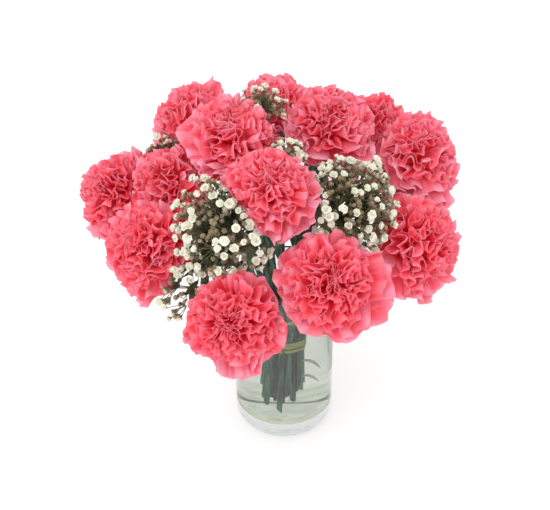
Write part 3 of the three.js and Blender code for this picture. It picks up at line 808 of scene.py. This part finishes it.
def middle_line(root, bend, tip, way):
    """A petal's middle line, as (distance from the axis, height), and its slope, at each share of the way."""
    line = np.multiply.outer((1 - way) ** 2, root) + np.multiply.outer(2 * way * (1 - way), bend)
    line = line + np.multiply.outer(way ** 2, tip)
    slope = np.multiply.outer(2 * (1 - way), bend - root) + np.multiply.outer(2 * way, tip - bend)
    return line, slope / np.linalg.norm(slope, axis=1)[:, None]


def ruffles(ring, scale, draw):
    """The folds of a petal: their phase, their depth, and the fine ruffle on top of them."""
    depth = ring["ruffle"] * MM * scale * smooth(*RUFFLED, FLAT_V) ** RUFFLE_RISE
    depth = depth * draw.uniform(*DEPTHS)
    wander = draw.uniform(*WANDERS)
    wander = wander * np.sin(draw.uniform(*WANDER_WAVES) * FLAT_U + draw.uniform(*ANY_PHASE))
    phase = math.pi * ring["waves"] * FLAT_U * draw.uniform(*WAVES) + draw.uniform(*ANY_PHASE) + wander
    fine = FINE_RUFFLE * (1 - LESS_FINE * ring["pale"]) * scale * smooth(*FINELY_RUFFLED, FLAT_V)
    fine = fine * draw.uniform(*FINE_DEPTHS)
    fine = fine * np.sin(draw.uniform(*FINE_WAVES) * phase + draw.uniform(*ANY_PHASE))
    return phase, depth, fine


def petal(head, ring, bearing, draw):
    """Offsets of one petal's points from the middle of its bloom, and the painted light and shade of its
    folds, paler on the ridges and deeper in the valleys.
    """
    scale = head.width / USUAL_WIDTH
    grown = growth(head, ring, bearing)
    half = ring["width"] / 2 * MM * scale * grown * draw.uniform(*WIDTHS)
    spread = CLAW_SHARE + (1 - CLAW_SHARE) * smooth(*CLAW_ENDS, FLAT_V)
    fall = np.maximum(np.abs(FLAT_U) - SHOULDER, 0) / (1 - SHOULDER)
    arch = SHOULDER_ARCH * (1 + ring["pale"])
    way = FLAT_V * (1 - (EDGE_ARCH * FLAT_U ** 2 + arch * fall ** 2) * FLAT_V ** 2)
    teeth = np.where(on_edge, (column % 2) * TOOTH + draw.uniform(*RAGGED, len(column)) * MM, 0)
    way = way - teeth / PETAL_LENGTH
    root, bend, tip = (np.array(ring[k]) * MM * scale for k in ("root", "bend", "tip"))
    tip = tip * grown * draw.uniform(*REACHES)
    tip = tip + draw.uniform(*TIP_SHIFTS, 2) * (1 + ring["pale"]) * MM
    bend = bend + draw.uniform(*BEND_SHIFTS, 2) * MM
    line, slope = middle_line(root, bend, tip, way)
    phase, depth, fine = ruffles(ring, scale, draw)
    sideways = half * spread * FLAT_U - SIDE_SWING * depth * np.sin(2 * phase)
    cup = draw.uniform(*CUPS) * half * FLAT_U ** 2 * spread
    raised = depth * np.sin(phase) + fine + cup
    turn = math.radians(ring["twist"]) * draw.uniform(-1, 1) * smooth(*TWISTED, way)
    sideways, raised = (
        sideways * np.cos(turn) - raised * np.sin(turn),
        sideways * np.sin(turn) + raised * np.cos(turn),
    )
    out = line[:, 0] - raised * slope[:, 1]
    height = line[:, 1] + raised * slope[:, 0]
    room = np.maximum(line[:, 0], NARROWEST)
    angle = bearing + WRAP * np.tanh(sideways / (WRAP * room))
    return head.from_head(angle, out, height), PAINTED_FOLD_SHADING * np.sin(phase) * smooth(*FOLD_SHADED, FLAT_V)


CRUMPLES = 7
CRUMPLE_SIZE = 22 * MM
CRUMPLE_SIZES = (0.75, 1.4)
CRUMPLE_DEPTH = 0.7 * MM


def crumpled(offsets, draw):
    """The whole bloom is folded a little by the same slow waves, so that neighbours fold together."""
    moved = offsets.copy()
    for _ in range(CRUMPLES):
        wave = unit(draw.normal(size=3)) * 2 * math.pi / (CRUMPLE_SIZE * draw.uniform(*CRUMPLE_SIZES))
        push = unit(draw.normal(size=3)) * CRUMPLE_DEPTH
        moved = moved + np.multiply.outer(np.sin(offsets @ wave + draw.uniform(*ANY_PHASE)), push)
    return moved


# The petals' patterns lie that far apart, so that no two have the same streaks.
UV_STEP = 3.0


def petals_mesh(name, points, tones):
    """Petals side by side in one mesh, each with its flat pattern as UVs, and its tone."""
    count = len(FLAT_U)
    petals = len(points) // count
    faces = (pattern_faces[None] + np.arange(petals)[:, None, None] * count).reshape(-1, 4)
    mesh = bpy.data.meshes.new(name)
    mesh.from_pydata(points, [], faces)
    corners = np.empty(len(mesh.loops), dtype=np.int64)
    mesh.loops.foreach_get("vertex_index", corners)
    spots = np.tile(np.column_stack([FLAT_U * 0.5 + 0.5, FLAT_V]), (petals, 1))
    spots[:, 0] += np.repeat(np.arange(petals), count) * UV_STEP
    layer = mesh.uv_layers.new(name="petal")
    layer.data.foreach_set("uv", spots[corners].astype(np.float32).ravel())
    layer = mesh.attributes.new("tone", "FLOAT", "POINT")
    layer.data.foreach_set("value", np.concatenate(tones).astype(np.float32))
    return mesh


# Its emission is painted light: a red glow, set below.
carnation = Finish(
    "carnation_petal", Sheen_Weight=0.03, Sheen_Roughness=0.5, Sheen_Tint=(1.0, 0.6, 0.68, 1),
    Specular_IOR_Level=0.12, Subsurface_Weight=0.6, Subsurface_Scale=0.0012,
    Subsurface_Radius=(1.0, 0.25, 0.25), Emission_Strength=0.045,
)
on_petal = carnation.node("ShaderNodeUVMap", {"uv_map": "petal"})
outwards = carnation.node("ShaderNodeSeparateXYZ", {}, on_petal, output=1)
tone = carnation.node("ShaderNodeAttribute", {"attribute_name": "tone"}, output="Fac")
streaks = carnation.noise(1.0, where=carnation.stretched(on_petal, (20.0, 1.2, 1.0)))
# Deeper red towards the claw: partly the petal's own colour, partly painted shade deep in the bloom.
fan_and_painted_shade = carnation.mixed(outwards.band(0.45, 1.0), (0.90, 0.012, 0.020), (0.95, 0.105, 0.155))
fan_and_painted_shade = carnation.mixed(tone * 0.88, fan_and_painted_shade, (0.98, 0.28, 0.385))
fan_and_painted_shade = carnation.mixed(streaks.band(0.42, 0.75) * (tone * 0.4 + 0.22), fan_and_painted_shade, (1.0, 0.38, 0.49))
# The pale edge is partly the petal's own colour and partly a painted highlight on the lit edges of the loops.
pale_edge_and_highlight = (outwards + streaks * 0.06 - 0.03).band(0.84, 1.0)
carnation.colour(carnation.mixed(pale_edge_and_highlight * (tone * 0.3 + 0.2), fan_and_painted_shade, (1.0, 0.48, 0.58)))
carnation.rough(streaks * 0.2 + 0.6)
# A red painted glow, strongest deep in the bloom, stands in for light passing through the petals.
carnation.glow(carnation.mixed(outwards.band(0.5, 1.0), (0.9, 0.0, 0.02), (0.5, 0.0, 0.03)))
carnation.bump(streaks, 0.5 * MM)

FIRST_BLOOM_SEED = 101
UNEVEN = 0.25
RING_TURN = 0.4
PETAL_EDGE = 80

for index, head in enumerate(blooms):
    draw = np.random.default_rng(FIRST_BLOOM_SEED + index)
    head.walls = walls_of(head)
    offsets, tones = [], []
    bearing = draw.uniform(0, 2 * math.pi)
    for ring in RINGS:
        for k in range(ring["petals"]):
            around = bearing + 2 * math.pi * (k + draw.uniform(-UNEVEN, UNEVEN)) / ring["petals"]
            bent, folded = petal(head, ring, around, draw)
            offsets.append(bent)
            pale = ring["pale"] + PALER.get(index + 1, 0)
            # The tone also carries the painted light and shade on the folds.
            tones.append(np.clip(pale + draw.uniform(-UNEVEN, UNEVEN) + folded, 0, 1))
        bearing += math.pi / ring["petals"] + RING_TURN
    name = f"carnation_{index + 1:02d}"
    mesh = petals_mesh(name, pressed(head, crumpled(np.vstack(offsets), draw)), tones)
    bloom = bpy.data.objects.new(name, mesh)
    bpy.context.scene.collection.objects.link(bloom)
    only(bloom)
    thick = bloom.modifiers.new("thickness", "SOLIDIFY")
    thick.thickness = PETAL_THICKNESS
    thick.offset = 0
    thick.use_even_offset = False
    bpy.ops.object.modifier_apply(modifier=thick.name)
    bpy.ops.object.shade_smooth_by_angle(angle=math.radians(PETAL_EDGE))
    carnation.on(bloom)
    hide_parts(f"bloom_{index + 1:02d}")
    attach(bloom, "root")

# ---------------------------------------------------------------------------------- the baby's breath
# Wiry stems that fork again and again into hair-thin twigs, each ending in a double floret of small
# papery white petals in a green cup. Half-dried, so the twigs and the older florets have turned olive.

SPRAY_STEM_SHARES = np.linspace(0, 1, 15)
SPRAY_STEM_SIDES = 7
TWIG_SIDES = 5
TWIG_RADIUS = 0.28 * MM
TWIG_FOOT = 0.4 * MM
FORK_RADII = (0.75 * MM, 0.5 * MM, 0.45 * MM)
FLORETS_A_FORK = 7
FEWEST_FORKS = 5
FORK_STRAY = 0.3
FORK_LEAN = 12
FORK_SPREAD = 66
FORK_REACHES = (0.1, 0.3)
FORK_DROP = 0.1
FORK_BEND = 0.06
SPIRAL = 2.4
SMALL_LEAF_LENGTH = 22 * MM
SMALL_LEAF_LENGTHS = (0.7, 1.2)
SMALL_LEAF_STRAY = 0.7
SMALL_LEAF_WIDTH = 4.5 * MM
SMALL_LEAF_GRID = (5, 3)
LEAFY_SHARE = 0.34
DRIED_SHARE = 0.57
# The rings of a floret: how many petals, how far they lean, their size, and their height in its width.
FLORET_RINGS = ((5, 66, 1.0, 0.0), (3, 28, 0.8, 0.1))
PETAL_STRAY = 16
# Any way that no floret faces, to measure its petals' bearings from.
ASKEW = (0.3, 0.5, 0.81)
# Each petal of a floret is a kite: how far up and how wide it is widest, how far its tip curls in, and
# how far up and how deep its back bulges.
KITE_WIDEST = 0.68
KITE_HALF = 0.6
KITE_CURL = 0.15
KITE_MIDDLE = 0.5
KITE_BULGE = 0.8 * MM
# Dried florets are half closed, smaller, and further in than the white ones.
DRIED_OPENED = 0.6
DRIED_WIDTHS = (4.8, 6.6)
DRIED_REACHES = (0.2, 0.48)
DRIED_TONES = (0.6, 1)
WHITE_WIDTHS = (5.6, 8.4)
WHITE_REACHES = (0.4, 0.56)
WHITE_TONES = (0, 0.5)
FLORET_STRAY = 0.5
LOWEST_LEAN = 100
FACING_AXIS = 0.5
FACING_STRAY = 0.2
TWIG_STRAY = 1.2 * MM
CUP_LENGTH = 0.9 * MM
CUP_FOOT = 1.6 * MM
CUP_RADII = (1.1 * MM, 1.2 * MM)

wiry = Finish("wiry_twig", Roughness=0.6)
wiry.colour(wiry.mixed(wiry.noise(6 * MM), (0.09, 0.10, 0.04), (0.26, 0.22, 0.11)))
wiry.bump(wiry.noise(0.6 * MM), 0.03 * MM)
dull_leaf = Finish("breath_leaf", Roughness=0.65)
dull_leaf.colour(dull_leaf.mixed(dull_leaf.noise(5 * MM), (0.025, 0.042, 0.016), (0.12, 0.115, 0.05)))
dull_leaf.bump(dull_leaf.noise(0.8 * MM), 0.04 * MM)
papery = Finish("papery_floret", Roughness=0.7, Subsurface_Weight=0.2, Subsurface_Scale=0.001)
age = papery.node("ShaderNodeAttribute", {"attribute_name": "tone"}, output="Fac")
white = papery.mixed(papery.noise(2 * MM).band(0.3, 0.7), (0.92, 0.91, 0.82), (0.80, 0.77, 0.60))
papery.colour(papery.mixed(age.band(0.45, 0.75) * 0.9, white, (0.33, 0.25, 0.13)))
papery.bump(papery.noise(0.8 * MM), 0.08 * MM)


def floret(at, facing, width, opened, draw):
    """A double floret: two rings of small cupped petals, each a thin closed kite."""
    first = unit(np.cross(facing, ASKEW))
    second = np.cross(facing, first)
    points, faces = [], []
    for petals, lean, size, lift in FLORET_RINGS:
        start = draw.uniform(*ANY_PHASE)
        for k in range(petals):
            angle = start + 2 * math.pi * k / petals
            tilt = math.radians(lean * opened + draw.uniform(-PETAL_STRAY, PETAL_STRAY))
            out = first * math.cos(angle) + second * math.sin(angle)
            side = second * math.cos(angle) - first * math.sin(angle)
            grow = out * math.sin(tilt) + facing * math.cos(tilt)
            inward = facing * math.sin(tilt) - out * math.cos(tilt)
            root = at + facing * lift * width
            reach = width / 2 * size
            widest = root + grow * reach * KITE_WIDEST
            base = len(points)
            points.extend((
                root,
                widest + side * reach * KITE_HALF,
                root + grow * reach + inward * reach * KITE_CURL,
                widest - side * reach * KITE_HALF,
                root + grow * reach * KITE_MIDDLE - inward * KITE_BULGE,
            ))
            for face in ((0, 1, 2), (0, 2, 3), (0, 4, 1), (1, 4, 2), (2, 4, 3), (3, 4, 0)):
                faces.append(tuple(base + corner for corner in face))
    return points, faces


def forked(head, draw, twigs, leaves):
    """The stem forks into twigs to all sides, with two small leaves on each. The places of the forks."""
    forks = []
    count = max(FEWEST_FORKS, head.florets // FLORETS_A_FORK)
    for k in range(count):
        bearing = SPIRAL * k + draw.uniform(-FORK_STRAY, FORK_STRAY)
        lean = math.radians(FORK_LEAN + FORK_SPREAD * math.sqrt(k / count))
        reach = head.width * draw.uniform(*FORK_REACHES)
        height = reach * math.cos(lean) - FORK_DROP * head.width
        offset = head.from_head(bearing, reach * math.sin(lean), height)
        fork = pressed(head, offset[None])[0]
        forks.append(fork)
        middle = (head.foot + fork) / 2 + head.axis * FORK_BEND * head.width
        twigs.add(*rod([head.foot, middle, fork], FORK_RADII, TWIG_SIDES))
        for _ in range(2):
            outward = unit(unit(fork - head.foot) + draw.normal(size=3) * SMALL_LEAF_STRAY)
            wanted = SMALL_LEAF_LENGTH * draw.uniform(*SMALL_LEAF_LENGTHS)
            end = fork + outward * wanted - head.centre
            end = end * min(1, LEAFY_SHARE * head.width / np.linalg.norm(end))
            along = pressed(head, end[None])[0] - fork
            length = np.linalg.norm(along)
            leaves.add(*leaf(fork, along / length, length, SMALL_LEAF_WIDTH, 0.0, *SMALL_LEAF_GRID))
    return np.array(forks)


def flowered(head, forks, draw, twigs, florets):
    """From the forks, hair-thin twigs that each end in a green cup and a floret. How dried each point is."""
    ages = []
    for k in range(head.florets):
        bearing = SPIRAL * k + draw.uniform(-FLORET_STRAY, FLORET_STRAY)
        lean = math.radians(LOWEST_LEAN * math.sqrt((k + 0.5) / head.florets))
        dried = draw.uniform() < DRIED_SHARE
        reach = head.width * draw.uniform(*(DRIED_REACHES if dried else WHITE_REACHES))
        offset = head.from_head(bearing, reach * math.sin(lean), reach * math.cos(lean))
        at = pressed(head, offset[None])[0]
        fork = forks[np.argmin(np.linalg.norm(forks - at, axis=1))]
        facing = unit(unit(at - fork) + head.axis * FACING_AXIS + draw.normal(size=3) * FACING_STRAY)
        width = draw.uniform(*(DRIED_WIDTHS if dried else WHITE_WIDTHS)) * MM
        middle = (fork + at) / 2 + draw.normal(size=3) * TWIG_STRAY
        cup = at - facing * CUP_LENGTH
        path = (fork, middle, cup - facing * CUP_FOOT, cup, at)
        twigs.add(*rod(path, (TWIG_FOOT, TWIG_RADIUS, TWIG_RADIUS, *CUP_RADII), TWIG_SIDES))
        points, faces = floret(at, facing, width, DRIED_OPENED if dried else 1.0, draw)
        florets.add(points, faces)
        ages.extend([draw.uniform(*(DRIED_TONES if dried else WHITE_TONES))] * len(points))
    return ages


FIRST_SPRAY_SEED = 501

for index, head in enumerate(sprays):
    draw = np.random.default_rng(FIRST_SPRAY_SEED + index)
    head.walls = walls_of(head)
    twigs, florets, leaves = Pile(), Pile(), Pile()
    path = [head.cut, *head.stem_points(SPRAY_STEM_SHARES)]
    leaves.add(*rod(path, [SPRAY_STEM_RADIUS] * len(path), SPRAY_STEM_SIDES))
    forks = forked(head, draw, twigs, leaves)
    ages = flowered(head, forks, draw, twigs, florets)
    number = f"{index + 1:02d}"
    stalks = twigs.made(f"breath_twigs_{number}")
    finished(stalks, wiry)
    green = leaves.made(f"breath_leaves_{number}")
    finished(green, dull_leaf)
    fluff = florets.made(f"breath_florets_{number}")
    layer = fluff.data.attributes.new("tone", "FLOAT", "POINT")
    layer.data.foreach_set("value", np.array(ages, dtype=np.float32))
    finished(fluff, papery, angle=70)
    for piece in (stalks, green, fluff):
        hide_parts(f"spray_{number}")
        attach(piece, "root")

# ------------------------------------------------------------------------- the floor, light and camera
# A white table that runs on to the horizon, a bright white room, and one large soft light from above.

FLOOR_SIZE = 30
# The table reaches the foot of the vase, with no film of air under the glass to shine.
FLOOR_LEVEL = 0.02 * MM
KEY_AT = Vector((-0.8, -1.6, 2.2))
KEY_AIM = Vector((0, 0, 0.2))
KEY_SIZE = 1.5
KEY_POWER = 27
CAMERA_RISE = math.radians(35)
CAMERA_DISTANCE = 1.0
AIM = np.array([-7.4, 0, 161]) * MM
LENS = 84.1
SENSOR_WIDTH = 36

nothing_selected()
bpy.ops.mesh.primitive_plane_add(size=FLOOR_SIZE)
floor = bpy.context.object
floor.name = "white_floor"
bpy.ops.transform.translate(value=(0, 0, FLOOR_LEVEL))
bpy.ops.object.transform_apply()
white_table = Finish("white_floor", Roughness=0.9, Emission_Color=(1, 1, 1, 1), Emission_Strength=0.64)
white_table.colour(white_table.mixed(white_table.noise(0.5), (0.42, 0.42, 0.42), (0.46, 0.46, 0.46)))
white_table.on(floor)

room = bpy.data.worlds.new("white_room")
room.use_nodes = True
room.node_tree.nodes["Background"].inputs["Color"].default_value = (1, 1, 1, 1)
room.node_tree.nodes["Background"].inputs["Strength"].default_value = 1.0
bpy.context.scene.world = room
bpy.context.scene.view_settings.view_transform = "Standard"

key_light = bpy.data.objects.new("key_light", bpy.data.lights.new("key_light", "AREA"))
key_light.data.size = KEY_SIZE
key_light.data.energy = KEY_POWER
key_light.location = KEY_AT
key_light.rotation_euler = (KEY_AIM - KEY_AT).to_track_quat("-Z", "Y").to_euler()
bpy.context.scene.collection.objects.link(key_light)

back = np.array([0, -math.cos(CAMERA_RISE), math.sin(CAMERA_RISE)])
camera = bpy.data.objects.new("camera", bpy.data.cameras.new("camera"))
camera.data.sensor_width = SENSOR_WIDTH
camera.data.lens = LENS
camera.location = AIM + back * CAMERA_DISTANCE
camera.rotation_euler = (math.pi / 2 - CAMERA_RISE, 0, 0)
bpy.context.scene.collection.objects.link(camera)
bpy.context.scene.camera = camera
